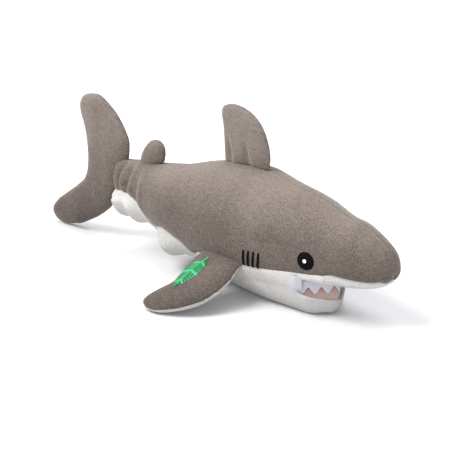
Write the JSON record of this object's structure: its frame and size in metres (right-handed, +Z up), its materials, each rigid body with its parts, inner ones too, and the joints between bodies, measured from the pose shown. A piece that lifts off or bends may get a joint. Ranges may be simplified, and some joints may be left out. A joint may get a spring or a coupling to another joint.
{
  "type": "plush shark",
  "caption": "Stuffed plush shark lying on its belly: grey back, white belly, open mouth with felt teeth and pink lining, embroidered eyes and gills, sewn-on fins, upright tail.",
  "frame": {"origin": "below the middle of the shark, on the surface that it lies on", "axes": "+X along the body towards the nose, +Y towards the shark's left side, +Z up from the surface"},
  "size_m": [0.398, 0.2028, 0.151],
  "materials": {
    "grey_plush": "short-pile plush, matte",
    "white_plush": "short-pile plush, matte",
    "pink_fabric": "brushed knit, matte",
    "felt": "felt, matte",
    "black_thread": "satin-stitch embroidery, slight sheen",
    "white_thread": "satin-stitch embroidery, slight sheen",
    "green_thread": "satin-stitch embroidery, slight sheen",
    "stuffing": "polyester fibre, loose"
  },
  "bodies": {
    "torso": {"back_panel_left": "grey_plush", "back_panel_right": "grey_plush", "belly_panel": "white_plush", "snout_underside": "white_plush", "torso_stuffing": "stuffing", "palate_lining": "pink_fabric", "upper_teeth_strip": "felt", "eye_left": "black_thread", "eye_right": "black_thread", "eye_glint_left": "white_thread", "eye_glint_right": "white_thread", "gill_stitch_left_1": "black_thread", "gill_stitch_left_2": "black_thread", "gill_stitch_left_3": "black_thread", "gill_stitch_left_4": "black_thread", "gill_stitch_right_1": "black_thread", "gill_stitch_right_2": "black_thread", "gill_stitch_right_3": "black_thread", "gill_stitch_right_4": "black_thread"},
    "rear_body": {"rear_back_panel_left": "grey_plush", "rear_back_panel_right": "grey_plush", "rear_belly_panel": "white_plush", "rear_stuffing": "stuffing"},
    "jaw": {"jaw_panel": "white_plush", "jaw_stuffing": "stuffing", "mouth_lining_lower": "pink_fabric"},
    "dorsal_fin": {"dorsal_fin_left": "grey_plush", "dorsal_fin_right": "grey_plush", "dorsal_fin_stuffing": "stuffing"},
    "rear_dorsal_fin": {"rear_dorsal_fin_left": "grey_plush", "rear_dorsal_fin_right": "grey_plush", "rear_dorsal_fin_stuffing": "stuffing"},
    "pectoral_left": {"pectoral_left_lower": "white_plush", "pectoral_left_upper": "grey_plush", "pectoral_left_stuffing": "stuffing"},
    "pectoral_right": {"pectoral_right_upper": "grey_plush", "pectoral_right_lower": "white_plush", "pectoral_right_stuffing": "stuffing", "leaf_emblem": "green_thread"},
    "tail_fin": {"tail_fin_left": "grey_plush", "tail_fin_right": "grey_plush", "tail_fin_stuffing": "stuffing"}
  },
  "joints": [
    {"name": "rear_body_bend", "type": "hinge", "parent": "torso", "child": "rear_body", "pos_m": [-0.02701, 0, 0], "axis": [0, 0, 1], "range_deg": [-12, 12], "stiffness_Nm_per_rad": 0.5},
    {"name": "tail_swing", "type": "hinge", "parent": "rear_body", "child": "tail_fin", "pos_m": [-0.099, 0, 0], "axis": [0, 0, 1], "range_deg": [-35, 35], "stiffness_Nm_per_rad": 0.08},
    {"name": "jaw_hinge", "type": "hinge", "parent": "torso", "child": "jaw", "pos_m": [0.12299, 0, 0.02], "axis": [0, 1, 0], "range_deg": [-6, 10], "stiffness_Nm_per_rad": 0.15},
    {"name": "pectoral_right_flap", "type": "hinge", "parent": "torso", "child": "pectoral_right", "pos_m": [0.04999, -0.03692, 0.03], "axis": [1, 0, 0], "range_deg": [-25, 8], "stiffness_Nm_per_rad": 0.12},
    {"name": "pectoral_left_flap", "type": "hinge", "parent": "torso", "child": "pectoral_left", "pos_m": [0.04999, 0.03692, 0.03], "axis": [1, 0, 0], "range_deg": [-8, 25], "stiffness_Nm_per_rad": 0.12},
    {"name": "dorsal_lean", "type": "hinge", "parent": "torso", "child": "dorsal_fin", "pos_m": [0.047, 0, 0.1035], "axis": [1, 0, 0], "range_deg": [-12, 12], "stiffness_Nm_per_rad": 0.08},
    {"name": "rear_dorsal_lean", "type": "hinge", "parent": "rear_body", "child": "rear_dorsal_fin", "pos_m": [-0.06351, 0, 0.0845], "axis": [1, 0, 0], "range_deg": [-10, 10], "stiffness_Nm_per_rad": 0.03}
  ]
}
